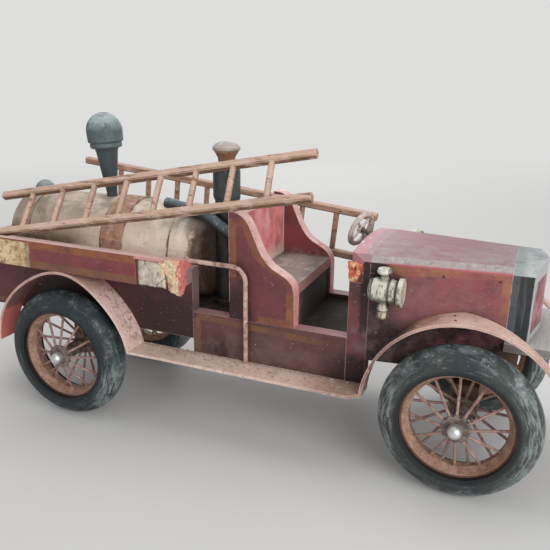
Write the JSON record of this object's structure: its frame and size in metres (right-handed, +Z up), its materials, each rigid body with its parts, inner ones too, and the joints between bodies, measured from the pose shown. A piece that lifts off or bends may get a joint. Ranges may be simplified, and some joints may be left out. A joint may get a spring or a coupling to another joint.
{
  "type": "toy fire truck",
  "caption": "Handmade wooden toy fire truck with wire-spoked wheels, water barrel, boiler, lanterns and two loose ladders.",
  "frame": {"origin": "on the floor under the middle of the truck's overall length and width", "axes": "+X towards the radiator, +Y to the truck's own left, +Z up"},
  "size_m": [0.7362, 0.2408, 0.3595],
  "materials": {
    "red_paint": "old dark red paint over wood, rubbed pink at the edges, with ochre border lines",
    "rust_strip": "pinkish worn red paint over a bent strip, dusty",
    "raw_wood": "bare dry softwood, unvarnished and dusty",
    "grey_wood": "worn grey paint over wood, dusty",
    "cream_barrel": "faded cream paint on turned wood, stained along the staves",
    "teal_turning": "dark blue-grey paint on turned wood, chalky on top",
    "cream_turning": "cream paint on turned wood, grimy in the grooves",
    "tyre_grey": "old grey-green tyre, chalky and scuffed",
    "rust_wheel": "rust-red wheel rims and spokes",
    "hub_grey": "dark dirty hub",
    "steel": "dull bare steel axle ends, rod and nuts",
    "core_red": "faded pink-red ribs"
  },
  "bodies": {
    "chassis": {"chassis_rails": "raw_wood", "axle_blocks": "raw_wood", "axles": "steel", "hub_nuts": "steel", "barrel_deck": "grey_wood", "cab_floor": "grey_wood", "right_side_panel": "red_paint", "left_side_panel": "red_paint", "tail_board": "red_paint", "right_sill": "red_paint", "left_sill": "red_paint", "right_seat_side": "red_paint", "left_seat_side": "red_paint", "seat_back": "red_paint", "bench": "grey_wood", "seat_front": "red_paint", "cowl": "red_paint", "hood_top": "red_paint", "right_hood_side": "red_paint", "left_hood_side": "red_paint", "radiator_shell": "grey_wood", "radiator_core": "core_red", "front_platform": "grey_wood", "platform_block": "raw_wood", "right_fender": "rust_strip", "left_fender": "rust_strip", "right_tray": "red_paint", "left_tray": "red_paint", "right_tray_block": "red_paint", "right_handrail": "rust_strip", "barrel": "cream_barrel", "chimney": "teal_turning", "rear_filler_cap": "teal_turning", "boiler": "teal_turning", "boiler_cap": "cream_turning", "branch_pipe": "teal_turning", "right_lantern": "cream_turning", "left_lantern": "cream_turning"},
    "front_right_wheel": {"front_right_tyre": "tyre_grey", "front_right_rim": "rust_wheel", "front_right_spokes": "rust_wheel", "front_right_hub": "hub_grey"},
    "front_left_wheel": {"front_left_tyre": "tyre_grey", "front_left_rim": "rust_wheel", "front_left_spokes": "rust_wheel", "front_left_hub": "hub_grey"},
    "rear_right_wheel": {"rear_right_tyre": "tyre_grey", "rear_right_rim": "rust_wheel", "rear_right_spokes": "rust_wheel", "rear_right_hub": "hub_grey"},
    "rear_left_wheel": {"rear_left_tyre": "tyre_grey", "rear_left_rim": "rust_wheel", "rear_left_spokes": "rust_wheel", "rear_left_hub": "hub_grey"},
    "steering": {"steering_wheel": "cream_turning", "steering_column": "steel"},
    "right_ladder": {"right_ladder_rails": "raw_wood", "right_ladder_rungs": "raw_wood"},
    "left_ladder": {"left_ladder_rails": "raw_wood", "left_ladder_rungs": "raw_wood"}
  },
  "joints": [
    {"name": "front_right_wheel_spin", "type": "hinge", "parent": "chassis", "child": "front_right_wheel", "pos_m": [0.25738, -0.0905, 0.079], "axis": [0, 1, 0], "continuous": true},
    {"name": "front_left_wheel_spin", "type": "hinge", "parent": "chassis", "child": "front_left_wheel", "pos_m": [0.25738, 0.0905, 0.079], "axis": [0, 1, 0], "continuous": true},
    {"name": "rear_right_wheel_spin", "type": "hinge", "parent": "chassis", "child": "rear_right_wheel", "pos_m": [-0.20921, -0.0905, 0.079], "axis": [0, 1, 0], "continuous": true},
    {"name": "rear_left_wheel_spin", "type": "hinge", "parent": "chassis", "child": "rear_left_wheel", "pos_m": [-0.20921, 0.0905, 0.079], "axis": [0, 1, 0], "continuous": true},
    {"name": "steering_turn", "type": "hinge", "parent": "chassis", "child": "steering", "pos_m": [0.12327, 0.029, 0.23266], "axis": [0.8901, -0.3096, -0.3343], "continuous": true},
    {"name": "right_ladder_lift", "type": "slide", "parent": "chassis", "child": "right_ladder", "axis": [0, -0.6, 0.8], "range_m": [0, 0.15]},
    {"name": "left_ladder_lift", "type": "slide", "parent": "chassis", "child": "left_ladder", "axis": [0, 0, 1], "range_m": [0, 0.15]}
  ]
}
